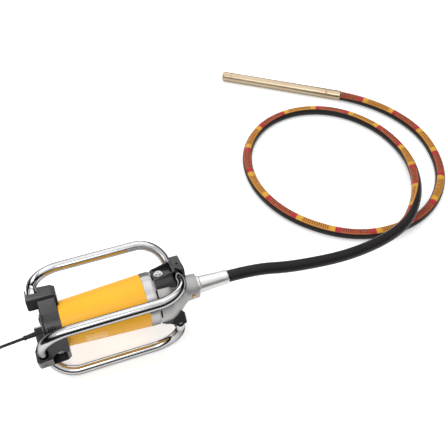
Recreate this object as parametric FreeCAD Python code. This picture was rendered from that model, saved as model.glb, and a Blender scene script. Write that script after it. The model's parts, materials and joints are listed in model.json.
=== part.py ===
import FreeCAD, Part
import math
import os

# Concrete vibrator: motor unit in a three-tube carrying frame, flexible shaft hose and poker.
# Row frame: +X along the motor axis towards the hose, +Z up, floor at z = 0.
# Millimetres. The motor unit is built about its own axis and then set down at MOTOR.

# ---- driving dimensions: motor unit ----
BODY_REAR_X = -92.0
BODY_FRONT_X = 92.0
BODY_REAR_R = 50.0
BODY_FRONT_R = 60.0
BODY_WALL = 3.0
CAP_REAR_X = -132.0
CAP_R = 51.0
CAP_WALL = 3.0
RING_FRONT_X = 112.0
RING_R = 60.5
NOSE_END_X = 214.0
NOSE_R = 28.0
FITTING_END_X = 289.0
SHAFT_R = 8.5
RUN_GAP = 0.05
SEAT_GAP = 0.05

# ---- carrying frame ----
TUBE_R = 11.0
TUBE_WALL = 1.5
FRAME_R = 139.0
FRAME_ROLL = 13.0
FRAME_STEP = 120.0
LUG_LEAD = 60.0
BEND_R = 65.0
REAR_END_X = (-137.0, -141.0, -144.0)
FRONT_END_X = (169.0, 169.0, 156.0)
REAR_END_R = 72.0
FRONT_END_R = 62.5
REAR_INSERT_T = -9.0
FRONT_INSERT_T = (4.0, 4.0, 20.0)
LUG_T = (-36.0, 0.0)
LUG_REAR_WALL = (14.0, 15.0, 13.5)
LUG_OUTER_R = 87.0
BRACKET_OUTER_R = (77.0, 77.0, 71.0)

# ---- hose, poker and mains lead ----
HOSE_R = 14.0
HOSE_BORE_R = 8.5
CORE_R = 6.0
SLEEVE_GAP = 0.3
POKER_R = 16.0
POKER_LEN = 414.0
POKER_SOCKET = 20.0
LEAD_R = 3.5
COIL_MID_R = 42.0
COIL_SIDE = 28.0
PLUG_R = 19.0

# Height of the motor axis: the lowest frame tube rests on the floor.
LOW_TUBE_ANGLE = math.radians(FRAME_ROLL + 2 * FRAME_STEP - 270.0)
AXIS_Z = FRAME_R * math.cos(LOW_TUBE_ANGLE) + TUBE_R
MOTOR = FreeCAD.Vector(-392.0, -420.0, AXIS_Z)

# Hose route from inside the steel fitting to inside the poker's socket, row frame.
HOSE_ROUTE = [
    (-130, -420, AXIS_Z), (-40, -420, AXIS_Z), (58, -437, 130), (231, -433, 104),
    (402, -382, 78), (491, -301, 74), (567, -190, 40), (615, -63, 14),
    (599, 75, 14), (517, 198, 14), (390, 251, 14), (251, 220, 14),
    (146, 107, 14), (118, -49, 14), (172, -203, 14), (306, -320, 14),
    (465, -333, 14), (597, -270, 14), (689, -144, 14), (716, 37, 14),
    (632, 216, 16), (543, 281, 16),
]

# Mains lead: from the strain relief down to the floor and onto its coil, then to the plug.
RELIEF_DROOP = 8.0
RELIEF_LEN = 45.0
RELIEF_DROP_Z = 6.0
COIL_CENTRE = (-742.0, -411.0)
LEAD_DROP = [(-597, -420, 127.7), (-632, -400, 96), (-658, -374, 44), (-692, -358, 3.5)]
LEAD_TAIL = [(-742, -358.5, 24.5), (-776, -359, 24), (-802, -366, 19), (-828, -366, 19)]

X = FreeCAD.Vector(1, 0, 0)
Y = FreeCAD.Vector(0, 1, 0)
Z = FreeCAD.Vector(0, 0, 1)


def vec(x, y, z):
    return FreeCAD.Vector(x, y, z)


def rod(radius, x0, x1):
    """Cylinder about the motor axis."""
    return Part.makeCylinder(radius, x1 - x0, vec(x0, 0, 0), X)


def ring(outer, inner, x0, x1):
    return rod(outer, x0, x1).cut(rod(inner, x0 - 1, x1 + 1))


def turned(profile):
    """Solid of revolution about the motor axis from (x, r) points."""
    points = [vec(x, r, 0) for x, r in profile]
    face = Part.Face(Part.makePolygon(points + points[:1]))
    return face.revolve(vec(0, 0, 0), X, 360)


def block(x0, x1, t0, t1, r0, r1):
    """Box in the local frame of a radial piece: x axial, t tangential (+Z), r radial (+Y)."""
    return Part.makeBox(x1 - x0, r1 - r0, t1 - t0, vec(x0, r0, t0))


def radial(radius, x, t, r0, r1):
    return Part.makeCylinder(radius, r1 - r0, vec(x, r0, t), Y)


def at_angle(shape, degrees):
    """Turn a radial piece from +Y to its angle about the motor axis (0 = +Y, 90 = up)."""
    copy = shape.copy()
    copy.rotate(vec(0, 0, 0), X, degrees)
    return copy


def fuse(shapes):
    result = shapes[0]
    if len(shapes) > 1:
        result = result.fuse(shapes[1:]).removeSplitter()
    return result


def extruded(points, x0, x1):
    """Prism along the motor axis from (t, r) points."""
    corners = [vec(x0, r, t) for t, r in points]
    face = Part.Face(Part.makePolygon(corners + corners[:1]))
    return face.extrude(vec(x1 - x0, 0, 0))


def side_prism(points, t0, t1):
    """Prism across a radial piece from (x, r) points."""
    corners = [vec(x, r, t0) for x, r in points]
    face = Part.Face(Part.makePolygon(corners + corners[:1]))
    return face.extrude(vec(0, 0, t1 - t0))


# ---- paths ----
def arc_path(points, radii):
    """Straight runs joined by tangent arcs of the given radii, one per inner point."""
    edges = []
    start = points[0]
    for before, corner, after, radius in zip(points, points[1:], points[2:], radii):
        into = (corner - before).normalize()
        out = (after - corner).normalize()
        half = math.acos(max(-1.0, min(1.0, into.dot(out)))) / 2
        setback = radius * math.tan(half)
        first = corner - into * setback
        last = corner + out * setback
        bisector = (out - into).normalize()
        middle = corner + bisector * (radius / math.cos(half) - radius)
        edges.append(Part.LineSegment(start, first).toShape())
        edges.append(Part.Arc(first, middle, last).toShape())
        start = last
    edges.append(Part.LineSegment(start, points[-1]).toShape())
    return Part.Wire(edges)


def widest_radii(points):
    radii = []
    for before, corner, after in zip(points, points[1:], points[2:]):
        into = corner - before
        out = after - corner
        half = into.getAngle(out) / 2
        radii.append(0.45 * min(into.Length, out.Length) / math.tan(half))
    return radii


def swept(path, radius):
    start = path.OrderedEdges[0]
    direction = start.tangentAt(start.FirstParameter)
    circle = Part.Circle(start.valueAt(start.FirstParameter), direction, radius)
    profile = Part.Wire([circle.toShape()])
    return path.makePipeShell([profile], True, False)


def cord_tube(name, points, radius, bore=0.0):
    corners = [vec(*p) for p in points]
    radii = widest_radii(corners)
    path = arc_path(corners, radii)
    tube = swept(path, radius)
    section = math.pi * radius * radius
    if bore > 0:
        tube = tube.cut(swept(path, bore))
        section -= math.pi * bore * bore
    print(name, "length", round(path.Length, 1), "radii", [round(r) for r in radii])
    print(name, "volume over section times length", round(tube.Volume / (section * path.Length), 4))
    return tube


# ---- housings ----
def front_profile(grow):
    """Outside of the front housing, from the vent slots to the end of the nose."""
    return [(RING_FRONT_X, 59.5 + grow), (144, 58.5 + grow), (149, 56.5 + grow), (170, 42 + grow),
            (183, 31.5 + grow), (188, 29.5 + grow), (NOSE_END_X, NOSE_R + grow)]


def motor_housing():
    shell = turned([(BODY_REAR_X, BODY_REAR_R), (BODY_REAR_X + 1, BODY_REAR_R + 0.6),
                    (BODY_FRONT_X, BODY_FRONT_R), (BODY_FRONT_X, BODY_FRONT_R - BODY_WALL),
                    (BODY_REAR_X, BODY_REAR_R - BODY_WALL)])
    cone = turned([(BODY_REAR_X, 0), (BODY_REAR_X, BODY_REAR_R - 1), (BODY_FRONT_X, BODY_FRONT_R - 1),
                   (BODY_FRONT_X, 0)])
    rib = block(-36, 31, -3, 3, STATOR_R + SEAT_GAP, 62).common(cone)
    ribs = [at_angle(rib, 30 + 60 * k) for k in range(6)]
    return fuse([shell] + ribs)


def rear_cap():
    rear = CAP_REAR_X
    shell = turned([(rear, 0), (rear, CAP_R - 7), (rear + 2, CAP_R - 3), (rear + 6, CAP_R - 0.6),
                    (rear + 9, CAP_R), (BODY_REAR_X, CAP_R), (BODY_REAR_X, CAP_R - CAP_WALL),
                    (rear + 8, CAP_R - CAP_WALL), (rear + 4, CAP_R - 9), (rear + 4, 0)])
    slot = block(rear + 11, rear + 13.2, -7, 7, CAP_R - 6, CAP_R + 3)
    slots = [at_angle(slot.translated(vec(4.4 * k, 0, 0)), 133 + 60 * j) for j in range(6) for k in range(4)]
    cap = fuse([shell] + [at_angle(rear_lug(k), lug_angle(k)) for k in range(3)])
    inside = turned([(rear + 4, 0), (rear + 4, CAP_R - 9), (rear + 8, CAP_R - CAP_WALL),
                     (BODY_REAR_X + 1, CAP_R - CAP_WALL), (BODY_REAR_X + 1, 0)])
    cap = cap.cut(inside)
    for k in range(3):
        cap = cap.cut(placed_tube_bore(k, rear=True))
        cap = cap.cut(at_angle(clamp_screw_hole(k), lug_angle(k)))
        if k:
            cap = cap.cut(at_angle(radial(4.1, LUG_SCREW_X, LUG_SCREW_T, 30, 90), lug_angle(k)))
    keep = [s for s in slots if not lug_covers(s)]
    cap = cap.cut(Part.makeCompound(keep))
    cap = cap.cut(switch_opening())
    seat_r = BODY_REAR_R + 0.7
    cap = cap.cut(turned([(BODY_REAR_X, 0), (BODY_REAR_X, seat_r), (BODY_REAR_X + 6, seat_r + 0.4),
                          (BODY_REAR_X + 6, 0)]))
    return cap.cut(rod(3.8, rear - 1, rear + 6).translated(vec(0, 0, -RELIEF_DROP_Z)))


def lug_covers(slot):
    centre = slot.BoundBox.Center
    angle = math.degrees(math.atan2(centre.z, centre.y))
    return any(abs((angle - lug_angle(k) + 180) % 360 - 180) < 40 for k in range(3))


def lug_angle(k):
    return FRAME_ROLL + FRAME_STEP * k + LUG_LEAD


def tube_side(k):
    """Angle of the radial direction that a tube's front end is square to."""
    return FRAME_ROLL + FRAME_STEP * k - LUG_LEAD


BRACKET_ANGLE = (313.0, 73.0, 229.0)
LUG_FRONT_X = BODY_REAR_X + 4
LUG_SCREW_X = -107.0
LUG_SCREW_T = -18.0
LUG_HOLE_T = -17.0
END_SCREW_X = -132.0
END_SCREW_R = 66.0


def rear_lug(k):
    """Block on the cap that takes a tube's rear end; the tube comes in from the -t side."""
    tube_x = REAR_END_X[k]
    rear = tube_x - LUG_REAR_WALL[k]
    t0, t1 = LUG_T
    body = side_prism([(rear + 3, 54), (rear, 58), (rear, LUG_OUTER_R - 4), (rear + 4, LUG_OUTER_R),
                       (LUG_FRONT_X - 8, LUG_OUTER_R - 4), (LUG_FRONT_X, LUG_OUTER_R - 10),
                       (LUG_FRONT_X, BODY_REAR_R + 0.9), (BODY_REAR_X - 0.5, 36), (CAP_REAR_X + 1, 36),
                       (CAP_REAR_X + 1, 54)], t0, t1)
    slope = extruded([(t1 - 5, LUG_OUTER_R + 1), (t1 + 1, LUG_OUTER_R + 1), (t1 + 1, LUG_OUTER_R - 7)],
                     rear - 1, LUG_FRONT_X + 1)
    web = extruded([(t1 - 1, 44), (t1 - 1, 74), (t1 + 3, 70), (t1 + 17, 47.5), (t1 + 17, 44)],
                   CAP_REAR_X + 4, BODY_REAR_X - 1)
    body = fuse([body.cut(slope), web])
    if k == 0:
        saddle = block(tube_x - TUBE_R - 0.6, tube_x + TUBE_R + 0.6, t0 - 1, t1 - 15, REAR_END_R, 100)
        return body.cut(saddle)
    collar = Part.makeCylinder(TUBE_R + 2.4, 4.0, vec(tube_x, REAR_END_R, t0 - 3), Z)
    pocket = block(-125, -94, t0 + 3, t1 - 3, 64, 100)
    notch = Part.makeCylinder(17.0, 8.0, vec(LUG_SCREW_X - 1, LUG_OUTER_R + 3, t0 - 4), Z)
    return body.fuse(collar).removeSplitter().cut(pocket).cut(notch)


def clamp_screw_hole(k):
    """Threaded hole of a tube's clamp screw: square to the tube, and on the top lug along its end."""
    if k == 0:
        return Part.makeCylinder(3.5, 10.0, vec(END_SCREW_X, END_SCREW_R, -9.0), Z)
    return radial(3.5, REAR_END_X[k], LUG_HOLE_T, REAR_END_R, LUG_OUTER_R + 2)


def bearing_flange():
    body = ring(RING_R, RING_R - 5, BODY_FRONT_X, RING_FRONT_X)
    web = ring(RING_R - 3, 20 + SEAT_GAP, 100, 106)
    hub = ring(25, 20 + SEAT_GAP, 96, 110)
    window = block(99, 107, -9, 9, 32, 48)
    web = web.cut(Part.makeCompound([at_angle(window, 22.5 + 45 * k) for k in range(8)]))
    return fuse([body, web, hub])


def front_housing():
    inner = [(RING_FRONT_X, 54.5), (143, 53.5), (147, 52), (167, 38), (179, 28), (186, 24.5),
             (190, 20 + SEAT_GAP), (NOSE_END_X, 20 + SEAT_GAP)]
    body = turned(front_profile(0) + inner[::-1])
    slot = block(RING_FRONT_X + 2.5, RING_FRONT_X + 6.5, -11, 11, 50, 64)
    body = body.cut(Part.makeCompound([at_angle(slot, 34 + 45 * k) for k in range(8)]))
    rib = block(126, 142, -3.5, 3.5, 53, 60.2)
    body = body.fuse([at_angle(rib, angle) for angle in (13, 133)]).removeSplitter()
    for k in range(3):
        body = body.cut(at_angle(radial(4.1, BRACKET_SCREW_X, FOOT_T, 44, 66), BRACKET_ANGLE[k]))
    body = body.cut(at_angle(radial(PIN_R + RUN_GAP, PIN_X, 0, 18, 32), PIN_ANGLE))
    return body.cut(at_angle(radial(PIN_R + 1.6, PIN_X, 0, 26.8, 32), PIN_ANGLE))


BRACKET_SCREW_X = 131.0
BRACKET_HEAD_X = ((164.0, 187.0), (164.0, 187.0), (143.5, 169.5))
FOOT_T = 9.0
PIN_X = 199.0
PIN_R = 4.0
PIN_ANGLE = 176.0


def front_bracket(k):
    """Saddle on the front housing that takes a tube's front end from its +t side."""
    x0, x1 = BRACKET_HEAD_X[k]
    top = BRACKET_OUTER_R[k]
    c = FOOT_T
    low = top - 12
    foot = extruded([(c - 29, 40), (c - 29, 54), (c - 22, 64), (c - 22, 76), (c + 22, 76), (c + 22, 64),
                     (c + 29, 54), (c + 29, 40)], 117, x0 + 1)
    above = side_prism([(116, low), (116, 90), (x0 - 1, 90), (x0 - 1, top - 1)], -50, 50)
    head = side_prism([(x0, 40), (x0, top - 1), (x0 + 1.5, top), (x1 - 2, top), (x1, top - 3), (x1, 47),
                       (x1 - 5, 41)], -25, 26)
    slope = extruded([(4, top + 1), (28, top + 1), (28, top - 5)], x0 - 3, x1 + 1)
    body = fuse([foot.cut(above), head.cut(slope)])
    body = body.cut(block(121, max(x0 - 4, BRACKET_SCREW_X + 11), c - 19, c + 19, 63.5, 90))
    envelope = turned([(RING_FRONT_X, 0)] + front_profile(0.1) + [(NOSE_END_X, 0)])
    body = body.cut(envelope)
    body = body.cut(radial(4.1, BRACKET_SCREW_X, c, 44, 70))
    if k < 2:
        body = body.cut(radial(3.2, (x0 + x1) / 2, 6, top - 7, top + 2))
    return at_angle(body, BRACKET_ANGLE[k]).cut(placed_tube_bore(k, rear=False))


# ---- frame tubes ----
def polar(x, r, t, degrees):
    a = math.radians(degrees)
    return vec(x, r * math.cos(a) - t * math.sin(a), r * math.sin(a) + t * math.cos(a))


def tube_points(k):
    psi = FRAME_ROLL + FRAME_STEP * k
    rear = polar(REAR_END_X[k], REAR_END_R, REAR_INSERT_T, lug_angle(k))
    rear_corner = polar(REAR_END_X[k], FRAME_R, 0, psi)
    front_corner = polar(FRONT_END_X[k], FRAME_R, 0, psi)
    front = polar(FRONT_END_X[k], FRONT_END_R, FRONT_INSERT_T[k], tube_side(k))
    return [rear, rear_corner, front_corner, front]


def frame_tube(k):
    path = arc_path(tube_points(k), [BEND_R, BEND_R])
    return swept(path, TUBE_R).cut(swept(path, TUBE_R - TUBE_WALL))


def placed_tube_bore(k, rear):
    points = tube_points(k)
    end, corner = (points[0], points[1]) if rear else (points[3], points[2])
    direction = (corner - end).normalize()
    return Part.makeCylinder(TUBE_R + SEAT_GAP, 60, end, direction)


def set_screw(x, t, low_r, high_r):
    screw = radial(3.45, x, t, low_r, high_r)
    socket = Part.makeCylinder(2.0, 1.6, vec(x, high_r - 1.6, t), Y)
    return screw.cut(socket)


def tube_clamp_screws():
    """One screw in each lug, down onto the tube or, on the top lug, against its end."""
    end_screw = set_screw(0, 0, 0, 7.0)
    end_screw.rotate(vec(0, 0, 0), X, 90)
    screws = [at_angle(end_screw.translated(vec(END_SCREW_X, END_SCREW_R, -8.6)), lug_angle(0))]
    for k in (1, 2):
        low = REAR_END_R + TUBE_R + 0.9
        screws.append(at_angle(set_screw(REAR_END_X[k], LUG_HOLE_T, low, LUG_OUTER_R - 1.2), lug_angle(k)))
    return Part.makeCompound(screws)


def pan_screw(x, t, seat_r, depth):
    """Pan-head screw on a wide washer, with a cross slot in its head."""
    shank = radial(4.0, x, 0, seat_r - depth, seat_r)
    washer = radial(10.0, x, 0, seat_r, seat_r + 1.6)
    head = radial(6.8, x, 0, seat_r + 1.6, seat_r + 5.6)
    cross = fuse([block(x - 4, x + 4, -0.7, 0.7, seat_r + 3.6, seat_r + 6),
                  block(x - 0.7, x + 0.7, -4, 4, seat_r + 3.6, seat_r + 6)])
    return fuse([shank, washer, head]).cut(cross).translated(vec(0, 0, t))


def bracket_screws():
    screw = pan_screw(BRACKET_SCREW_X, FOOT_T, 63.5, 11)
    return Part.makeCompound([at_angle(screw, angle) for angle in BRACKET_ANGLE])


def lug_screws():
    screw = pan_screw(LUG_SCREW_X, LUG_SCREW_T, 64, 20)
    return Part.makeCompound([at_angle(screw, lug_angle(k)) for k in (1, 2)])


def rating_plate():
    """Thin blank label wrapped on the near side of the housing."""
    x0, x1 = -52.0, -4.0
    slope = (BODY_FRONT_R - BODY_REAR_R) / (BODY_FRONT_X - BODY_REAR_X)
    r0 = BODY_REAR_R + slope * (x0 - BODY_REAR_X) + 0.62
    r1 = BODY_REAR_R + slope * (x1 - BODY_REAR_X) + 0.62
    skin = turned([(x0, r0), (x0, r0 + 0.4), (x1, r1 + 0.4), (x1, r1)])
    wedge = block(x0 - 1, x1 + 1, -30, 30, 10, 80)
    return at_angle(skin.common(wedge), 205)


# ---- motor internals ----
STATOR_R = 46.0
ARMATURE_R = 26.0


def armature_shaft():
    return fuse([rod(6.0, -86, -70), rod(SHAFT_R, -70, 124), rod(7.0, 124, 150)])


def armature_core():
    body = ring(ARMATURE_R, SHAFT_R, -34, 29)
    slot = block(-35, 30, -0.9, 0.9, ARMATURE_R - 3, ARMATURE_R + 1)
    return body.cut(Part.makeCompound([at_angle(slot, 360 / 14 * k) for k in range(14)]))


def armature_windings():
    rear = turned([(-50, 12), (-50, 18), (-46, 23), (-34, 24), (-34, SHAFT_R), (-46, SHAFT_R)])
    front = turned([(29, SHAFT_R), (29, 24), (40, 23), (44, 18), (44, SHAFT_R)])
    return Part.makeCompound([rear, front])


def commutator():
    body = ring(16.5, SHAFT_R, -70, -51)
    groove = block(-71, -50, -0.3, 0.3, 15.3, 17)
    return body.cut(Part.makeCompound([at_angle(groove, 15 * k) for k in range(24)]))


def cooling_fan():
    disc = ring(44, 12, 76, 78.5)
    hub = ring(14, SHAFT_R, 68, 80)
    blade = block(62, 76.5, -1, 1, 20, 44)
    blade.rotate(vec(0, 32, 0), X, 22)
    blades = [at_angle(blade, 30 * k) for k in range(12)]
    return fuse([hub, disc] + blades)


def bearing(outer, inner, x0, x1):
    """Sealed ball bearing as one solid with a shield groove on each face."""
    body = ring(outer, inner, x0, x1)
    middle = (outer + inner) / 2
    for face in (x0, x1 - 0.6):
        body = body.cut(ring(middle + 2.5, middle - 2.5, face, face + 0.6))
    return body


def stator_core():
    outer = rod(STATOR_R, -34, 29)
    bore = rod(ARMATURE_R + 0.6, -35, 30)
    body = outer.cut(bore)
    pocket = block(-35, 30, -24, 24, ARMATURE_R + 4, STATOR_R - 7)
    return body.cut(Part.makeCompound([at_angle(pocket, 180 * k) for k in (0, 1)]))


def field_coils():
    coils = []
    for k in (0, 1):
        side = block(-44, 39, -23, -12, ARMATURE_R + 4.5, STATOR_R - 8)
        other = block(-44, 39, 12, 23, ARMATURE_R + 4.5, STATOR_R - 8)
        rear = block(-44, -35, -23, 23, ARMATURE_R + 4.5, STATOR_R - 8)
        front = block(30, 39, -23, 23, ARMATURE_R + 4.5, STATOR_R - 8)
        coils.append(at_angle(fuse([side, other, rear, front]), 180 * k))
    return Part.makeCompound(coils)


def brush_bridge():
    """Plate that holds the rear bearing and both brush holders."""
    plate = ring(46.9, 16 + SEAT_GAP, -86, -82)
    seat = ring(20, 16 + SEAT_GAP, -88, -74)
    window = block(-90, -80, -8, 8, 24, 40)
    plate = plate.cut(Part.makeCompound([at_angle(window, 90 * k) for k in range(4)]))
    arms = [at_angle(block(-82, -57, -7, 7, 38, 44), 45 + 180 * k) for k in (0, 1)]
    return fuse([plate, seat] + arms)


def brush_holders():
    box = block(-69, -57, -6, 6, 19, 38)
    box = box.cut(block(-67.5, -58.5, -4.5, 4.5, 15, 40))
    return Part.makeCompound([at_angle(box, 45 + 180 * k) for k in (0, 1)])


def carbon_brushes():
    brush = block(-67.3, -58.7, -4.3, 4.3, 16.5 + 0.2, 29)
    return Part.makeCompound([at_angle(brush, 45 + 180 * k) for k in (0, 1)])


def brush_springs():
    spring = radial(3.4, -63, 0, 29, 38).cut(radial(2.4, -63, 0, 28, 39))
    return Part.makeCompound([at_angle(spring, 45 + 180 * k) for k in (0, 1)])


# ---- switch on the rear face ----
SWITCH_Z = 26.0
SWITCH_ANGLE = 9.0


def switch_opening():
    return Part.makeBox(8, 15.4, 29.4, vec(CAP_REAR_X - 2, -7.7, SWITCH_Z - 14.7))


def switch_body():
    rear = CAP_REAR_X
    bezel = Part.makeBox(1.8, 19, 33, vec(rear - 1.8, -9.5, SWITCH_Z - 16.5))
    box = Part.makeBox(22, 15, 29, vec(rear - 1.8, -7.5, SWITCH_Z - 14.5))
    well = Part.makeBox(9.8, 12, 26, vec(rear - 3, -6, SWITCH_Z - 13))
    tab = Part.makeBox(7, 0.8, 4.8, vec(rear + 20.1, -0.4, SWITCH_Z - 9))
    other = tab.translated(vec(0, 0, 13))
    return fuse([bezel, box, tab, other]).cut(well)


def switch_rocker():
    """Two-lobed rocker about a pin across its middle, resting on its off side."""
    half = 12.2
    outline = [(-4.5, 0.0), (-3.0, half), (2.6, half - 1.6), (2.6, -half + 1.6), (-3.0, -half)]
    corners = [vec(x, -5.6, z) for x, z in outline]
    face = Part.Face(Part.makePolygon(corners + corners[:1]))
    rocker = face.extrude(vec(0, 11.2, 0))
    rocker.rotate(vec(0, 0, 0), Y, -SWITCH_ANGLE)
    return rocker.translated(vec(CAP_REAR_X + 1.0, 0, SWITCH_Z))


def cable_clamp():
    bar = Part.makeBox(9, 26, 7, vec(CAP_REAR_X + 6, -13, -RELIEF_DROP_Z - 10.5))
    return bar.cut(rod(3.7, CAP_REAR_X, CAP_REAR_X + 20).translated(vec(0, 0, -RELIEF_DROP_Z)))


def strain_relief():
    """Tapered sleeve with a flange, drooping a little below the motor axis."""
    body = Part.makeCone(7.0, 4.6, RELIEF_LEN - 3, vec(0, 0, 0), vec(-1, 0, 0))
    bead = Part.makeCylinder(5.6, 3, vec(-RELIEF_LEN + 3, 0, 0), vec(-1, 0, 0))
    body = body.fuse(bead).removeSplitter()
    groove = Part.makeCylinder(9, 1.4, vec(0, 0, 0), vec(-1, 0, 0))
    groove = groove.cut(Part.makeCylinder(4.9, 1.4, vec(0, 0, 0), vec(-1, 0, 0)))
    body = body.cut(Part.makeCompound([groove.translated(vec(-12 - 4.5 * k, 0, 0)) for k in range(5)]))
    body.rotate(vec(0, 0, 0), Y, -RELIEF_DROOP)
    body = body.translated(vec(CAP_REAR_X, 0, -RELIEF_DROP_Z))
    front = Part.makeBox(20, 40, 40, vec(CAP_REAR_X - 0.02, -20, -20 - RELIEF_DROP_Z))
    flange = rod(9.5, CAP_REAR_X - 2.5, CAP_REAR_X).translated(vec(0, 0, -RELIEF_DROP_Z))
    return body.cut(front).fuse(flange).removeSplitter()


# ---- hose end on the motor ----
def drive_coupling():
    body = ring(13.0, 7.0, 128, 152)
    mouth = Part.makeBox(26, 9.4, 9.4, vec(152, -4.7, -4.7))
    nose = rod(12.0, 152, 176).cut(mouth)
    return fuse([body, nose])


def lock_pin():
    return at_angle(fuse([radial(PIN_R, PIN_X, 0, 16.5, 29.5),
                          radial(PIN_R - 0.8, PIN_X, 0, 29.5, 30.3)]), PIN_ANGLE)


def hose_fitting():
    outer = [(188, 17), (190, 19.95), (NOSE_END_X, 19.95), (NOSE_END_X, 21), (219, 21), (221, 19.2),
             (232, 18.6), (268, 16.6), (284, 16.2), (287.5, 15.8), (FITTING_END_X, 14.9)]
    inner = [(FITTING_END_X, HOSE_R + SLEEVE_GAP), (262, HOSE_R + SLEEVE_GAP), (262, 8.0), (188, 8.0)]
    body = turned(outer + inner)
    return body.cut(at_angle(radial(PIN_R + 0.3, PIN_X, 0, 12.5, 22), PIN_ANGLE))


def drive_tang():
    """Square-ended stub of the flexible core that plugs into the drive coupling."""
    square = Part.makeBox(24, 9.0, 9.0, vec(154, -4.5, -4.5))
    return fuse([square, rod(7.0, 178, 262)])


# ---- poker ----
def poker_frame():
    start = vec(*HOSE_ROUTE[-2])
    end = vec(*HOSE_ROUTE[-1])
    direction = (end - start).normalize()
    return end - direction * POKER_SOCKET, direction


def along_poker(shape):
    """Place a piece built along +X from x = 0 onto the poker's own axis."""
    origin, direction = poker_frame()
    turn = FreeCAD.Rotation(X, direction)
    copy = shape.copy()
    copy.Placement = FreeCAD.Placement(origin, turn)
    return copy


def poker_socket():
    outer = [(0, 14.9), (1.5, POKER_R), (44, POKER_R), (45.5, POKER_R - 0.8), (48, POKER_R - 0.8),
             (48, 13.9), (66, 13.9)]
    inner = [(66, 9.0), (POKER_SOCKET + 0.2, 9.0), (POKER_SOCKET + 0.2, HOSE_R + SLEEVE_GAP),
             (0, HOSE_R + SLEEVE_GAP)]
    return turned(outer + inner)


def poker_casing():
    outer = [(48.1, POKER_R - 0.8), (49.5, POKER_R), (381, POKER_R), (382.4, POKER_R - 0.6)]
    inner = [(382.4, 13.4), (366, 13.4), (366, 13.0), (68, 13.0), (68, 14.0), (48.1, 14.0)]
    return turned(outer + inner)


def poker_tip():
    return turned([(366.5, 0), (366.5, 13.35), (382.5, 13.35), (382.5, POKER_R - 0.6), (384, POKER_R),
                   (408, POKER_R), (411.5, POKER_R - 0.8), (413.4, POKER_R - 2.6), (POKER_LEN, POKER_R - 4.5),
                   (POKER_LEN, 0)])


def poker_bearing(x0):
    return bearing(12.95, 6.0 + RUN_GAP, x0, x0 + 10)


def eccentric_rotor():
    """Out-of-balance rotor on two journals; the weight is the lower half of a cylinder."""
    shaft = rod(6.0, 84, 352)
    weight = rod(11.6, 112, 320).common(Part.makeBox(300, 30, 12.6, vec(80, -15, -13)))
    return fuse([shaft, weight])


def poker_seal():
    return ring(12.95, 6.0 + RUN_GAP, 78, 84)


def poker_drive_adapter():
    return fuse([rod(7.0, POKER_SOCKET, 62), rod(4.5, 62, 84)])


# ---- lead, coil and plug ----
def lead_exit():
    a = math.radians(RELIEF_DROOP)
    root = MOTOR + vec(CAP_REAR_X, 0, -RELIEF_DROP_Z)
    return root + vec(-math.cos(a), 0, -math.sin(a)) * RELIEF_LEN


def lead_run():
    start = lead_exit()
    coil_entry = (COIL_CENTRE[0], COIL_CENTRE[1] + COIL_MID_R + 10.5, LEAD_R)
    return cord_tube("lead_run", [(start.x, start.y, start.z)] + LEAD_DROP + [coil_entry], LEAD_R)


def lead_coil():
    outer = COIL_MID_R + COIL_SIDE / 2
    inner = COIL_MID_R - COIL_SIDE / 2
    base = vec(COIL_CENTRE[0], COIL_CENTRE[1], 0)
    return Part.makeCylinder(outer, COIL_SIDE, base, Z).cut(Part.makeCylinder(inner, COIL_SIDE, base, Z))


def plug_origin():
    return vec(*LEAD_TAIL[-1])


def plug_body():
    """Round moulded plug lying on the floor, pins towards -X."""
    profile = [(0, 0), (0, 5.0), (18, 7.5), (24, 12), (34, 15.5), (50, PLUG_R - 1), (52, PLUG_R),
               (60, PLUG_R), (62, PLUG_R - 1), (62, 0)]
    body = turned(profile)
    grip = block(27, 46, -1.4, 1.4, 14.6, 22)
    body = body.cut(Part.makeCompound([at_angle(grip, 15 + 30 * k) for k in range(12)]))
    body.rotate(vec(0, 0, 0), Z, 180)
    return body.translated(plug_origin())


def plug_pins():
    pins = []
    for side in (-9.5, 9.5):
        pin = Part.makeCylinder(2.4, 18, vec(-62, side, 0), vec(-1, 0, 0))
        tip = Part.makeCone(2.4, 1.4, 1, vec(-80, side, 0), vec(-1, 0, 0))
        pins.append(pin.fuse(tip).removeSplitter().translated(plug_origin()))
    return Part.makeCompound(pins)


# ---- assembly ----
def motor_nodes():
    nodes = {
        "rear_cap": rear_cap(),
        "motor_housing": motor_housing(),
        "bearing_flange": bearing_flange(),
        "front_housing": front_housing(),
        "tube_clamp_screws": tube_clamp_screws(),
        "bracket_screws": bracket_screws(),
        "lug_screws": lug_screws(),
        "rating_plate": rating_plate(),
        "armature_shaft": armature_shaft(),
        "armature_core": armature_core(),
        "armature_windings": armature_windings(),
        "commutator": commutator(),
        "cooling_fan": cooling_fan(),
        "rear_bearing": bearing(16.0, 6.0 + RUN_GAP, -85, -75),
        "front_bearing": bearing(20.0, SHAFT_R + RUN_GAP, 97, 109),
        "stator_core": stator_core(),
        "field_coils": field_coils(),
        "brush_bridge": brush_bridge(),
        "brush_holders": brush_holders(),
        "carbon_brushes": carbon_brushes(),
        "brush_springs": brush_springs(),
        "switch_body": switch_body(),
        "switch_rocker": switch_rocker(),
        "cable_clamp": cable_clamp(),
        "strain_relief": strain_relief(),
        "drive_coupling": drive_coupling(),
        "lock_pin": lock_pin(),
        "hose_fitting": hose_fitting(),
        "drive_tang": drive_tang(),
    }
    for k in range(3):
        nodes["frame_tube_%d" % (k + 1)] = frame_tube(k)
        nodes["front_bracket_%d" % (k + 1)] = front_bracket(k)
    return {name: shape.translated(MOTOR) for name, shape in nodes.items()}


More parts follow.
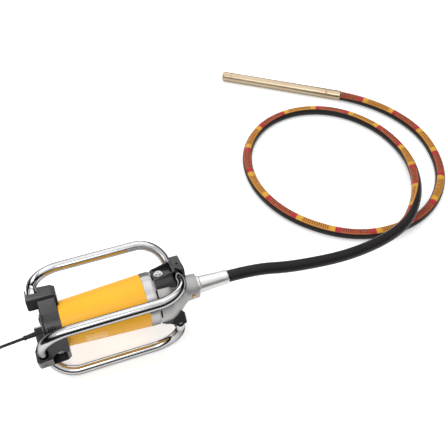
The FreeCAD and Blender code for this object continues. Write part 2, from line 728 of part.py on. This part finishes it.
def poker_nodes():
    nodes = {
        "poker_socket": poker_socket(),
        "poker_casing": poker_casing(),
        "poker_tip": poker_tip(),
        "poker_bearing_rear": poker_bearing(86),
        "poker_bearing_front": poker_bearing(334),
        "poker_seal": poker_seal(),
        "poker_drive_adapter": poker_drive_adapter(),
        "eccentric_rotor": eccentric_rotor(),
    }
    return {name: along_poker(shape) for name, shape in nodes.items()}


def cord_nodes():
    return {
        "hose": cord_tube("hose", HOSE_ROUTE, HOSE_R, HOSE_BORE_R),
        "flexible_core": cord_tube("flexible_core", HOSE_ROUTE, CORE_R),
        "lead_run": lead_run(),
        "lead_coil": lead_coil(),
        "lead_tail": cord_tube("lead_tail", LEAD_TAIL, LEAD_R),
        "plug_body": plug_body(),
        "plug_pins": plug_pins(),
    }


def main():
    os.makedirs("parts", exist_ok=True)
    nodes = motor_nodes()
    nodes.update(poker_nodes())
    free = cord_nodes()
    box = FreeCAD.BoundBox()
    for shape in nodes.values():
        box.add(shape.BoundBox)
    print("object without its cords", box)
    nodes.update(free)
    for name, shape in sorted(nodes.items()):
        if not shape.isValid() or not shape.Solids:
            print("NOT VALID", name)
        shape.exportStep("parts/%s.step" % name)
    print(len(nodes), "nodes; lead exit", lead_exit(), "poker", poker_frame())


main()
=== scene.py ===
import json
import math

import bmesh
import bpy
from mathutils import Matrix, Vector


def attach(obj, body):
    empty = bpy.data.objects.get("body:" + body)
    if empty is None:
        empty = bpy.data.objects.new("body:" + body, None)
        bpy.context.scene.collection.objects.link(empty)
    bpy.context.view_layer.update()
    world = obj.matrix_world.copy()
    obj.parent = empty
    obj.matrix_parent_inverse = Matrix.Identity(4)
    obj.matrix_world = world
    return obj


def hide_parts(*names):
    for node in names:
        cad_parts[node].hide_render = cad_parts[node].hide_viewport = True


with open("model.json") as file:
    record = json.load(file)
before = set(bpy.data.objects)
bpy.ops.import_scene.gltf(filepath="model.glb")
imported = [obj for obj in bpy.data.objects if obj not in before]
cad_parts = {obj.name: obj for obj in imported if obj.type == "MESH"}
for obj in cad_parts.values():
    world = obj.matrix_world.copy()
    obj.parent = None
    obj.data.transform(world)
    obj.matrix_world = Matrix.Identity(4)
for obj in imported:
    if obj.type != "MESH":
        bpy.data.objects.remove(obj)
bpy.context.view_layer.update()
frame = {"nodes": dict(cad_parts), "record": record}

# Metres: +X along the motor axis towards the hose, +Z up, floor at z = 0.
AXIS_Z = 0.143922
MOTOR = Vector((-0.392, -0.420, AXIS_Z))
POKER_END = Vector((0.559151, 0.269204, 0.016))
POKER_DIR = Vector((-0.80756, 0.58979, 0.0))
HOSE_R = 0.014
LEAD_R = 0.0035
FRAME_TUBE_R = 0.011
NODES = frame["nodes"]
SCENE = bpy.context.scene


def matrix_to(origin, direction):
    """Placement that turns +X onto a direction and moves the origin to a point."""
    turn = Vector((1, 0, 0)).rotation_difference(direction).to_matrix().to_4x4()
    return Matrix.Translation(origin) @ turn


def aimed(name, data, place, direction):
    """A new camera or light at a place, looking along a direction."""
    obj = bpy.data.objects.new(name, data)
    SCENE.collection.objects.link(obj)
    obj.location = place
    obj.rotation_mode = "QUATERNION"
    obj.rotation_quaternion = direction.to_track_quat("-Z", "Y")
    return obj


# ---------------------------------------------------------------- camera
CAMERA_PLACE = (-0.4193, -1.2662, 1.3007)
CAMERA_DOWN = math.radians(47.3)
CAMERA_RIGHT = math.radians(20.0)


def make_camera():
    level = math.cos(CAMERA_DOWN)
    forward = Vector((math.sin(CAMERA_RIGHT) * level, math.cos(CAMERA_RIGHT) * level, -math.sin(CAMERA_DOWN)))
    data = bpy.data.cameras.new("camera")
    data.sensor_width = 36.0
    data.lens = 50.95
    data.clip_end = 50.0
    SCENE.camera = aimed("camera", data, CAMERA_PLACE, forward)


make_camera()


# ---------------------------------------------------------------- mesh helpers
SHARP_EDGE = math.radians(28)
ON_AXIS = 1e-6


def new_object(name, verts, faces, smooth=True):
    mesh = bpy.data.meshes.new(name)
    mesh.from_pydata([tuple(v) for v in verts], [], faces)
    mesh.validate()
    mesh.update()
    for polygon in mesh.polygons:
        polygon.use_smooth = smooth
    obj = bpy.data.objects.new(name, mesh)
    SCENE.collection.objects.link(obj)
    return obj


def line_of(points):
    """Points along the NURBS line of a route, read from a curve with no bevel."""
    curve = bpy.data.curves.new("guide", "CURVE")
    curve.dimensions = "3D"
    spline = curve.splines.new("NURBS")
    spline.points.add(len(points) - 1)
    for target, point in zip(spline.points, points):
        target.co = (point[0], point[1], point[2], 1.0)
    spline.order_u = 3
    spline.use_endpoint_u = True
    spline.resolution_u = 24
    guide = bpy.data.objects.new("guide", curve)
    mesh = bpy.data.meshes.new_from_object(guide)
    line = [v.co.copy() for v in mesh.vertices]
    bpy.data.objects.remove(guide)
    bpy.data.curves.remove(curve)
    bpy.data.meshes.remove(mesh)
    return line


def lengths_along(line):
    lengths = [0.0]
    for a, b in zip(line, line[1:]):
        lengths.append(lengths[-1] + (b - a).length)
    return lengths


def even_line(line, step):
    """The same line with its points an even step apart."""
    lengths = lengths_along(line)
    count = max(2, round(lengths[-1] / step))
    result = []
    k = 0
    for i in range(count + 1):
        s = lengths[-1] * i / count
        while k < len(line) - 2 and lengths[k + 1] < s:
            k += 1
        span = lengths[k + 1] - lengths[k]
        part = 0.0 if span == 0 else (s - lengths[k]) / span
        result.append(line[k].lerp(line[k + 1], min(1.0, part)))
    return result


def tube_mesh(name, line, radius, sides):
    """Closed tube along a line. UV u is the length in metres and v the angle, 0.5 on top."""
    verts = []
    lengths = lengths_along(line)
    for i, centre in enumerate(line):
        before = line[max(0, i - 1)]
        after = line[min(len(line) - 1, i + 1)]
        tangent = (after - before).normalized()
        side = tangent.cross(Vector((0, 0, 1))).normalized()
        up = side.cross(tangent)
        for j in range(sides):
            a = 2 * math.pi * (j / sides - 0.5)
            verts.append(centre + (up * math.cos(a) + side * math.sin(a)) * radius)
    faces = []
    for i in range(len(line) - 1):
        for j in range(sides):
            k = (j + 1) % sides
            faces.append((i * sides + j, i * sides + k, (i + 1) * sides + k, (i + 1) * sides + j))
    faces.append(tuple(range(sides)))
    last = (len(line) - 1) * sides
    faces.append(tuple(last + j for j in reversed(range(sides))))
    obj = new_object(name, verts, faces)
    uv = obj.data.uv_layers.new(name="along")
    for polygon in obj.data.polygons:
        for loop in polygon.loop_indices:
            index = obj.data.loops[loop].vertex_index
            ring, j = divmod(index, sides)
            wrap = 1 if len(polygon.vertices) == 4 and j == 0 and polygon.index % sides == sides - 1 else 0
            uv.data[loop].uv = (lengths[ring], (j + wrap * sides) / sides)
    flip_outward(obj)
    return obj


def flip_outward(obj):
    """Turns every face normal of a closed piece to the outside."""
    work = bmesh.new()
    work.from_mesh(obj.data)
    bmesh.ops.recalc_face_normals(work, faces=work.faces)
    work.to_mesh(obj.data)
    work.free()


def lathe(name, profile, place, sides=128):
    """Closed turned piece from (x, r) points in metres; a point with r = 0 closes an end."""
    verts = []
    rings = []
    for x, r in profile:
        if r < ON_AXIS:
            rings.append([len(verts)])
            verts.append(place @ Vector((x, 0, 0)))
        else:
            start = len(verts)
            rings.append(list(range(start, start + sides)))
            for j in range(sides):
                a = 2 * math.pi * j / sides
                verts.append(place @ Vector((x, r * math.cos(a), r * math.sin(a))))
    faces = []
    pairs = list(zip(rings, rings[1:]))
    hollow = profile[0][1] > ON_AXIS or profile[-1][1] > ON_AXIS
    if hollow:
        pairs.append((rings[-1], rings[0]))
    for a, b in pairs:
        for j in range(sides):
            k = (j + 1) % sides
            if len(a) == 1:
                faces.append((a[0], b[j], b[k]))
            elif len(b) == 1:
                faces.append((a[j], b[0], a[k]))
            else:
                faces.append((a[j], b[j], b[k], a[k]))
    obj = new_object(name, verts, faces)
    flip_outward(obj)
    return obj


def soften(obj, width, weld=False):
    """Rounds the sharp edges of a piece by modifiers, and shades it smooth."""
    if weld:
        obj.modifiers.new("weld", "WELD").merge_threshold = 0.00001
    bevel = obj.modifiers.new("edges", "BEVEL")
    bevel.width = width
    bevel.segments = 3
    bevel.limit_method = "ANGLE"
    bevel.angle_limit = SHARP_EDGE
    for polygon in obj.data.polygons:
        polygon.use_smooth = True
    obj.modifiers.new("normals", "WEIGHTED_NORMAL").keep_sharp = True


# ---------------------------------------------------------------- cords
HOSE_ROUTE = [
    (-0.130, -0.420, AXIS_Z), (-0.040, -0.420, AXIS_Z), (0.058, -0.437, 0.130), (0.231, -0.433, 0.104),
    (0.402, -0.382, 0.078), (0.491, -0.301, 0.074), (0.567, -0.190, 0.040), (0.615, -0.063, 0.014),
    (0.599, 0.075, 0.014), (0.517, 0.198, 0.014), (0.390, 0.251, 0.014), (0.251, 0.220, 0.014),
    (0.146, 0.107, 0.014), (0.118, -0.049, 0.014), (0.172, -0.203, 0.014), (0.306, -0.320, 0.014),
    (0.465, -0.333, 0.014), (0.597, -0.270, 0.014), (0.689, -0.144, 0.014), (0.716, 0.037, 0.014),
    (0.632, 0.216, 0.016), (0.543, 0.281, 0.016),
]
LEAD_START = (-0.568562, -0.420, 0.131664)
LEAD_DROP = [(-0.597, -0.420, 0.1277), (-0.632, -0.400, 0.096), (-0.658, -0.374, 0.044),
             (-0.692, -0.358, 0.0035)]
LEAD_TAIL = [(-0.776, -0.359, 0.0245), (-0.802, -0.366, 0.019), (-0.828, -0.366, 0.019)]
COIL_CENTRE = (-0.742, -0.411)
COIL_RADII = (0.0525, 0.0315)
COIL_TURNS = 13
COIL_LAYERS = 4
LAYER_TURNS = 3.0
CLIMB_TURNS = 1.0 / 3.0
TURN_POINTS = 12


def coil_points():
    """Flat layers of the put-away lead, wound inwards and outwards by turns."""
    points = []
    pull_in = math.cos(math.pi / TURN_POINTS)
    for i in range(COIL_TURNS * TURN_POINTS + 1):
        turns = i / TURN_POINTS
        layer = min(COIL_LAYERS - 1, int(turns / (LAYER_TURNS + CLIMB_TURNS) + 1e-9))
        inside = turns - layer * (LAYER_TURNS + CLIMB_TURNS)
        wound = min(1.0, inside / LAYER_TURNS)
        rise = math.sqrt(max(0.0, min(1.0, (inside - LAYER_TURNS) / CLIMB_TURNS)))
        start, end = COIL_RADII if layer % 2 == 0 else COIL_RADII[::-1]
        radius = (start + (end - start) * wound) / pull_in
        angle = math.radians(90 + 360 * turns)
        points.append((COIL_CENTRE[0] + radius * math.cos(angle), COIL_CENTRE[1] + radius * math.sin(angle),
                       LEAD_R + 2 * LEAD_R * (layer + rise)))
    return points


hose_line = even_line(line_of(HOSE_ROUTE), 0.004)
hose = tube_mesh("hose_skin", hose_line, HOSE_R, sides=48)
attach(hose, "frame")
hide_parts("hose")

lead_line = even_line(line_of([LEAD_START] + LEAD_DROP + coil_points() + LEAD_TAIL), 0.003)
lead = tube_mesh("mains_lead", lead_line, LEAD_R, sides=20)
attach(lead, "frame")
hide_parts("lead_run", "lead_coil", "lead_tail")


# ---------------------------------------------------------------- materials
def ramp_node(tree, value, stops):
    """Grey ramp from (position, level) stops."""
    node = tree.nodes.new("ShaderNodeValToRGB")
    elements = node.color_ramp.elements
    while len(elements) < len(stops):
        elements.new(0.5)
    for element, (place, level) in zip(elements, stops):
        element.position = place
        element.color = (level, level, level, 1)
    tree.links.new(value, node.inputs["Fac"])
    return node.outputs["Color"]


MATS = {}


class Maker:
    """Short names for the node work that the materials share."""

    def __init__(self, name):
        self.mat = bpy.data.materials.new(name)
        MATS[name] = self.mat
        self.mat.use_nodes = True
        self.tree = self.mat.node_tree
        self.shader = self.tree.nodes["Principled BSDF"]
        coords = self.tree.nodes.new("ShaderNodeTexCoord")
        self.place = coords.outputs["Object"]
        self.heights = []

    def link(self, a, b):
        self.tree.links.new(a, b)

    def set(self, **values):
        """Sets shader sockets; a name's underscores stand for spaces."""
        for key, value in values.items():
            self.shader.inputs[key.replace("_", " ")].default_value = value
        return self

    def stretched(self, source, scale):
        node = self.tree.nodes.new("ShaderNodeMapping")
        node.inputs["Scale"].default_value = scale
        self.link(source, node.inputs["Vector"])
        return node.outputs["Vector"]

    def noise(self, scale, detail=4.0, rough=0.55, source=None):
        node = self.tree.nodes.new("ShaderNodeTexNoise")
        node.inputs["Scale"].default_value = scale
        node.inputs["Detail"].default_value = detail
        node.inputs["Roughness"].default_value = rough
        self.link(source or self.place, node.inputs["Vector"])
        return node.outputs["Fac"]

    def ramp(self, value, stops):
        return ramp_node(self.tree, value, stops)

    def math(self, kind, a, b=0.0, c=None):
        node = self.tree.nodes.new("ShaderNodeMath")
        node.operation = kind
        for socket, value in zip(node.inputs, (a, b) if c is None else (a, b, c)):
            if isinstance(value, (int, float)):
                socket.default_value = value
            else:
                self.link(value, socket)
        return node.outputs[0]

    def mix(self, factor, a, b):
        node = self.tree.nodes.new("ShaderNodeMix")
        node.data_type = "RGBA"
        for socket, value in ((node.inputs[0], factor), (node.inputs[6], a), (node.inputs[7], b)):
            if isinstance(value, (int, float)):
                socket.default_value = value
            elif isinstance(value, tuple):
                socket.default_value = (*value, 1)
            else:
                self.link(value, socket)
        return node.outputs[2]

    def bump(self, height, distance, strength=1.0):
        node = self.tree.nodes.new("ShaderNodeBump")
        node.inputs["Distance"].default_value = distance
        node.inputs["Strength"].default_value = strength
        self.link(height, node.inputs["Height"])
        if self.heights:
            self.link(self.heights[-1], node.inputs["Normal"])
        self.heights.append(node.outputs["Normal"])
        return self

    def color(self, value):
        self.link(value, self.shader.inputs["Base Color"])
        return self

    def roughness(self, value, low, high):
        self.link(self.ramp(value, [(0.25, low), (0.75, high)]), self.shader.inputs["Roughness"])
        return self

    def done(self):
        if self.heights:
            self.link(self.heights[-1], self.shader.inputs["Normal"])
        return self.mat


def plastic(name, color, dark, low, high, grain=1800, coat=0.0, distance=0.00006, shine=0.5):
    """Moulded plastic: two tones in clouds, a fine grain, and roughness from low to high."""
    m = Maker(name).set(IOR=1.5, Coat_Weight=coat, Coat_Roughness=0.12, Specular_IOR_Level=shine)
    cloud = m.noise(14, 5)
    fleck = m.noise(grain, 2)
    tone = m.mix(m.ramp(cloud, [(0.35, 0.0), (0.72, 1.0)]), color, dark)
    m.color(m.mix(m.math("MULTIPLY", fleck, 0.16), tone, dark))
    m.roughness(m.noise(60, 4), low, high)
    return m.bump(fleck, distance).bump(m.noise(45, 2), 0.00004).done()


def metal(name, color, dark, low, high, scratch=(90, 1200, 1200), distance=0.00002, edge=1.0):
    """Metal whose reflection falls off to the edge value where it is seen at a glancing angle."""
    m = Maker(name).set(Metallic=1.0, Specular_Tint=(edge, edge, edge, 1))
    cloud = m.noise(30, 6)
    streak = m.noise(1.0, 3, 0.6, m.stretched(m.place, scratch))
    m.color(m.mix(m.ramp(m.math("MULTIPLY", cloud, streak), [(0.12, 1.0), (0.42, 0.0)]), color, dark))
    m.roughness(m.math("MULTIPLY_ADD", streak, 0.6, m.math("MULTIPLY", cloud, 0.4)), low, high)
    return m.bump(streak, distance).done()


def zinc():
    """Yellow-passivated zinc: warm grey with faint gold and pink clouds and fine wear along its length."""
    m = Maker("zinc_steel").set(Metallic=1.0, Specular_Tint=(0.25, 0.22, 0.18, 1))
    gold = m.ramp(m.noise(9, 3), [(0.35, 0.0), (0.65, 1.0)])
    tone = m.mix(gold, (0.46, 0.40, 0.28), (0.48, 0.35, 0.25))
    fine = m.noise(260, 5, 0.65)
    m.color(m.mix(m.ramp(fine, [(0.35, 0.35), (0.65, 0.0)]), tone, (0.30, 0.24, 0.17)))
    m.roughness(fine, 0.28, 0.42)
    return m.bump(fine, 0.00003).done()


def cast_metal(name, color, dark):
    """Blasted die casting with a coarse grain."""
    m = Maker(name).set(Metallic=0.75)
    grain = m.noise(900, 3)
    cloud = m.noise(26, 6)
    m.color(m.mix(m.ramp(cloud, [(0.3, 0.0), (0.75, 1.0)]), color, dark))
    m.roughness(grain, 0.38, 0.62)
    return m.bump(grain, 0.00012).bump(m.noise(120, 3), 0.00008).done()


# The hose's print: lengths are in metres along the hose, widths and turns in parts of its girth.
HOSE_SPAN = 3.06
BAND_HALF = 0.137
BAND_WOBBLE = 0.01
BORDER_WIDTH = 0.016
TICK_ROW = 0.62
BLOCK_START = 0.0718
BLOCK_PAIR = 0.2218
TICK = 0.0062
WEAVE = 0.0045
BAND_TURN = [(0.0, 0.10), (0.12, 0.14), (0.20, 0.30), (0.255, 0.42), (0.31, 0.49), (0.42, 0.52), (0.60, 0.50),
             (0.70, 0.50), (0.84, 0.495), (0.93, 0.47), (1.0, 0.41)]


def hose_material():
    """Dark rubber with a printed band of yellow and red blocks that winds slowly round the hose."""
    m = Maker("hose_rubber").set(IOR=1.45, Specular_IOR_Level=0.2)
    uv = m.tree.nodes.new("ShaderNodeUVMap")
    uv.uv_map = "along"
    split = m.tree.nodes.new("ShaderNodeSeparateXYZ")
    m.link(uv.outputs["UV"], split.inputs[0])
    length, around = split.outputs[0], split.outputs[1]
    turn = m.ramp(m.math("MULTIPLY", length, 1 / HOSE_SPAN), BAND_TURN)
    wobble = m.math("MULTIPLY_ADD", m.noise(4, 2), 2 * BAND_WOBBLE, -BAND_WOBBLE)
    off = m.math("ADD", m.math("SUBTRACT", around, turn), wobble)
    away = m.math("ABSOLUTE", m.math("SUBTRACT", m.math("FRACT", m.math("ADD", off, 1.5)), 0.5))
    band = m.math("LESS_THAN", away, BAND_HALF)
    border = m.math("MULTIPLY", m.math("GREATER_THAN", away, BAND_HALF - BORDER_WIDTH), band)
    block = m.math("FRACT", m.math("DIVIDE", m.math("SUBTRACT", length, BLOCK_START), BLOCK_PAIR))
    red = m.math("LESS_THAN", block, 0.5)
    middle = m.math("ABSOLUTE", m.math("SUBTRACT", m.math("FRACT", m.math("MULTIPLY", block, 2)), 0.5))
    printed = m.ramp(middle, [(0.33, 1.0), (0.37, 0.0)])
    rows = m.math("LESS_THAN", away, BAND_HALF * TICK_ROW)
    tick = m.math("GREATER_THAN", m.math("SINE", m.math("MULTIPLY", length, 2 * math.pi / TICK)), -0.1)
    gaps = m.ramp(m.noise(1.0, 2, 0.6, m.stretched(m.place, (160, 160, 160))), [(0.32, 0.0), (0.40, 1.0)])
    ticks = m.math("MULTIPLY", m.math("MULTIPLY", tick, gaps), m.math("MULTIPLY", rows, printed))
    plain = m.mix(red, (0.60, 0.32, 0.035), (0.38, 0.026, 0.034))
    tinted = m.mix(red, (0.54, 0.235, 0.038), (0.40, 0.090, 0.036))
    tone = m.mix(printed, plain, tinted)
    ink = m.mix(red, (0.15, 0.045, 0.008), (0.06, 0.010, 0.008))
    tone = m.mix(m.math("MULTIPLY", ticks, 0.9), tone, ink)
    tone = m.mix(m.math("MULTIPLY", border, 0.65), tone, (0.16, 0.07, 0.03))
    worn = m.ramp(m.noise(90, 6, 0.7), [(0.28, 0.72), (0.42, 1.0)])
    rubber = m.mix(m.noise(40, 5), (0.008, 0.007, 0.007), (0.016, 0.014, 0.014))
    m.color(m.mix(m.math("MULTIPLY", band, worn), rubber, tone))
    m.roughness(m.noise(90, 4), 0.34, 0.5)
    weave = m.math("SINE", m.math("MULTIPLY", length, 2 * math.pi / WEAVE))
    m.bump(weave, 0.00006, 0.5)
    return m.bump(m.noise(700, 3), 0.00005).done()


# Each call adds one material to MATS.
plastic("yellow_plastic", (0.88, 0.43, 0.016), (0.84, 0.40, 0.014), 0.36, 0.46, shine=0.3)
plastic("black_plastic", (0.016, 0.015, 0.017), (0.010, 0.009, 0.011), 0.26, 0.40,
        coat=0.10, grain=1400, distance=0.00012, shine=0.4)
metal("machined_aluminium", (0.50, 0.49, 0.49), (0.38, 0.37, 0.37), 0.24, 0.42,
      scratch=(2600, 60, 60), edge=0.3)
cast_metal("cast_aluminium", (0.46, 0.45, 0.44), (0.30, 0.295, 0.29))
metal("chrome_tube", (0.56, 0.56, 0.57), (0.42, 0.42, 0.42), 0.07, 0.16, distance=0.000004, edge=0.02)
metal("bright_steel", (0.72, 0.72, 0.71), (0.60, 0.59, 0.58), 0.34, 0.48,
      scratch=(40, 900, 900), distance=0.00001, edge=0.45)
metal("dark_steel", (0.24, 0.235, 0.23), (0.10, 0.10, 0.10), 0.30, 0.55)
zinc()
hose_material()
plastic("lead_rubber", (0.014, 0.013, 0.014), (0.009, 0.009, 0.010), 0.40, 0.58, grain=1500, shine=0.3)
metal("copper", (0.60, 0.24, 0.10), (0.36, 0.13, 0.05), 0.25, 0.45)
metal("lamination", (0.28, 0.28, 0.29), (0.12, 0.12, 0.12), 0.35, 0.6,
      scratch=(2200, 20, 20), distance=0.00008)
plastic("carbon", (0.030, 0.030, 0.030), (0.015, 0.015, 0.015), 0.5, 0.7)
plastic("label_film", (0.88, 0.45, 0.022), (0.83, 0.41, 0.018), 0.14, 0.22, coat=0.5)
metal("brass_fitting", (0.68, 0.44, 0.15), (0.42, 0.25, 0.08), 0.2, 0.42)
plastic("switch_plastic", (0.022, 0.022, 0.024), (0.012, 0.012, 0.012), 0.2, 0.35)
plastic("rocker_plastic", (0.10, 0.012, 0.010), (0.07, 0.010, 0.008), 0.2, 0.35, coat=0.3)
plastic("fan_plastic", (0.10, 0.10, 0.10), (0.05, 0.05, 0.05), 0.4, 0.6)


def paint(obj, name):
    obj.data.materials.clear()
    obj.data.materials.append(MATS[name])


for entry in frame["record"]["subparts"]:
    node = NODES[entry["node"]]
    material = MATS[entry["material_slot"]]
    if not node.material_slots:
        node.data.materials.append(material)
    for material_slot in node.material_slots:
        material_slot.material = material
for material_slot in NODES["bearing_flange"].material_slots:
    material_slot.material = MATS["machined_aluminium"]
paint(hose, "hose_rubber")
paint(lead, "lead_rubber")

# ---------------------------------------------------------------- edges of the carried-over pieces
SOFT_EDGES = {
    "rear_cap": 0.0014, "front_bracket_1": 0.0016, "front_bracket_2": 0.0016, "front_bracket_3": 0.0016,
    "bracket_screws": 0.0006, "lug_screws": 0.0006, "bearing_flange": 0.0007, "front_housing": 0.0005,
    "switch_body": 0.0006, "switch_rocker": 0.0006, "plug_body": 0.0008, "strain_relief": 0.0004,
    "tube_clamp_screws": 0.0002, "lock_pin": 0.0003, "plug_pins": 0.0003,
}
for name, width in SOFT_EDGES.items():
    soften(NODES[name], width, weld=True)


# ---------------------------------------------------------------- turned pieces
def turned_piece(name, node, slot, profile, place, width):
    """Lathed piece from (x, r) points in millimetres, in place of a carried-over node."""
    piece = lathe(name, [(x / 1000, r / 1000) for x, r in profile], place)
    soften(piece, width)
    paint(piece, slot)
    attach(piece, "frame")
    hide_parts(node)


HOUSING_OUTLINE = [(-92, 50), (-91, 50.6), (-45, 53.1), (0, 55.5), (45, 57.8), (92, 60), (92, 57), (-92, 47)]
FITTING_OUTLINE = [
    (188, 17), (190, 19.95), (214, 19.95), (214, 21), (219, 21), (221, 19.2), (232, 18.6), (250, 17.6),
    (268, 16.6), (284, 16.2), (287.5, 15.8), (289, 14.9), (289, 14.3), (262, 14.3), (262, 8), (188, 8),
]
NECK_OUTLINE = [
    (0, 14.9), (1.5, 16), (44, 16), (45.5, 15.2), (48, 15.2), (48, 13.9), (66, 13.9), (66, 9),
    (20.2, 9), (20.2, 14.3), (0, 14.3),
]
CASING_OUTSIDE = [(48.1, 15.2), (49.5, 16)] + [(49.5 + 33.15 * k, 16) for k in range(1, 10)]
CASING_FRONT = [(381, 16), (382.4, 15.4), (382.4, 13.4)]
CASING_BORE = [(366, 13.4), (366, 13), (68, 13), (68, 14), (48.1, 14)]
NOSE_OUTLINE = [
    (366.5, 0), (366.5, 13.35), (382.5, 13.35), (382.5, 15.4), (384, 16), (408, 16), (411.5, 15.2),
    (413.4, 13.4), (414, 11.5), (414, 0),
]

motor_place = Matrix.Translation(MOTOR)
poker_place = matrix_to(POKER_END, POKER_DIR)
turned_piece("housing_shell", "motor_housing", "yellow_plastic", HOUSING_OUTLINE, motor_place, 0.0006)
turned_piece("fitting_shell", "hose_fitting", "bright_steel", FITTING_OUTLINE, motor_place, 0.0006)
turned_piece("poker_neck", "poker_socket", "zinc_steel", NECK_OUTLINE, poker_place, 0.0004)
turned_piece("poker_tube", "poker_casing", "zinc_steel", CASING_OUTSIDE + CASING_FRONT + CASING_BORE,
             poker_place, 0.0004)
turned_piece("poker_nose", "poker_tip", "zinc_steel", NOSE_OUTLINE, poker_place, 0.0005)


# ---------------------------------------------------------------- bent frame tubes
# For each tube: where its rear and front ends lie along X, and the front end's offset across the radius.
TUBE_ENDS = [(-0.137, 0.169, 0.004), (-0.141, 0.169, 0.004), (-0.144, 0.156, 0.020)]
REAR_OFFSET = -0.009
RUN_RADIUS = 0.139
REAR_RADIUS = 0.072
FRONT_RADIUS = 0.0625
BEND_RADIUS = 0.065
BEND_STEPS = 24
RUN_STEPS = 12


def around_axis(x, radius, offset, angle):
    """A point at a radius and an angle round the motor axis, shifted across the radius."""
    c, s = math.cos(angle), math.sin(angle)
    return Vector((x, radius * c - offset * s, radius * s + offset * c))


def tube_line(k):
    """Centreline of a frame tube: a straight with a smooth bend towards the motor at each end."""
    angle = math.radians(13 + 120 * k)
    third = math.radians(60)
    rear_x, front_x, front_offset = TUBE_ENDS[k]
    corners = [around_axis(rear_x, REAR_RADIUS, REAR_OFFSET, angle + third),
               around_axis(rear_x, RUN_RADIUS, 0, angle),
               around_axis(front_x, RUN_RADIUS, 0, angle),
               around_axis(front_x, FRONT_RADIUS, front_offset, angle - third)]
    line = [corners[0]]
    for before, corner, after in zip(corners, corners[1:], corners[2:]):
        into = (corner - before).normalized()
        out = (after - corner).normalized()
        half = into.angle(out) / 2
        centre = corner + (out - into).normalized() * (BEND_RADIUS / math.cos(half))
        arm = corner - into * BEND_RADIUS * math.tan(half) - centre
        axis = into.cross(out).normalized()
        for i in range(BEND_STEPS + 1):
            line.append(centre + Matrix.Rotation(2 * half * i / BEND_STEPS, 3, axis) @ arm)
    line.append(corners[-1])
    return [MOTOR + p for p in line]


def frame_bar(k):
    points = tube_line(k)
    rear = BEND_STEPS + 1
    run = [points[rear].lerp(points[rear + 1], i / RUN_STEPS) for i in range(1, RUN_STEPS)]
    line = points[:rear + 1] + run + points[rear + 1:]
    tube = tube_mesh("frame_bar_%d" % (k + 1), line, FRAME_TUBE_R, sides=64)
    paint(tube, "chrome_tube")
    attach(tube, "frame")
    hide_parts("frame_tube_%d" % (k + 1))


for k in range(3):
    frame_bar(k)


# ---------------------------------------------------------------- stage and light
FLOOR_DROP = 0.0002
FLOOR_CORNERS = [(-1.4, -1.0, 0), (2.2, -1.0, 0), (2.2, 2.2, 0), (-1.4, 2.2, 0)]
# The studio's brightness from the horizon (0) to straight up (1): dark walls under a wide soft light.
STUDIO_LEVELS = [(0.0, 0.08), (0.04, 0.01), (0.36, 0.01), (0.46, 0.45), (0.60, 1.25), (0.84, 1.30),
                 (1.0, 0.75)]


def make_floor():
    floor = new_object("floor", FLOOR_CORNERS, [(0, 1, 2, 3)], smooth=False)
    floor.location.z = -FLOOR_DROP
    m = Maker("floor").set(Emission_Color=(1, 1, 1, 1), Emission_Strength=0.26)
    m.color(m.mix(m.noise(3, 3), (0.93, 0.93, 0.93), (0.90, 0.90, 0.90)))
    m.roughness(m.noise(20, 3), 0.75, 0.85)
    floor.data.materials.append(m.done())


def make_world():
    """Studio light from all round. Its dark walls show only in reflections; the backdrop itself is pale."""
    world = bpy.data.worlds.new("studio")
    SCENE.world = world
    world.use_nodes = True
    tree = world.node_tree
    light = tree.nodes["Background"]
    light.inputs["Strength"].default_value = 0.80
    coords = tree.nodes.new("ShaderNodeTexCoord")
    split = tree.nodes.new("ShaderNodeSeparateXYZ")
    tree.links.new(coords.outputs["Generated"], split.inputs[0])
    tree.links.new(ramp_node(tree, split.outputs[2], STUDIO_LEVELS), light.inputs["Color"])
    backdrop = tree.nodes.new("ShaderNodeBackground")
    backdrop.inputs["Color"].default_value = (1, 1, 1, 1)
    light_path = tree.nodes.new("ShaderNodeLightPath")
    pick = tree.nodes.new("ShaderNodeMixShader")
    tree.links.new(light_path.outputs["Is Camera Ray"], pick.inputs[0])
    tree.links.new(light.outputs[0], pick.inputs[1])
    tree.links.new(backdrop.outputs[0], pick.inputs[2])
    tree.links.new(pick.outputs[0], tree.nodes["World Output"].inputs["Surface"])


def area_light(name, place, target, size, power):
    data = bpy.data.lights.new(name, "AREA")
    data.shape = "RECTANGLE"
    data.size, data.size_y = size
    data.energy = power
    aimed(name, data, place, Vector(target) - Vector(place))


make_floor()
make_world()
area_light("key", (-1.2, -1.6, 2.6), (0, 0, 0), (2.2, 1.4), 36)
area_light("top", (0.4, 0.6, 3.0), (0, 0, 0), (3.0, 3.0), 32)
area_light("rim", (0.3, 2.4, 1.4), (0, 0, 0.05), (2.4, 0.8), 16)
SCENE.view_settings.view_transform = "Standard"

bpy.context.view_layer.update()
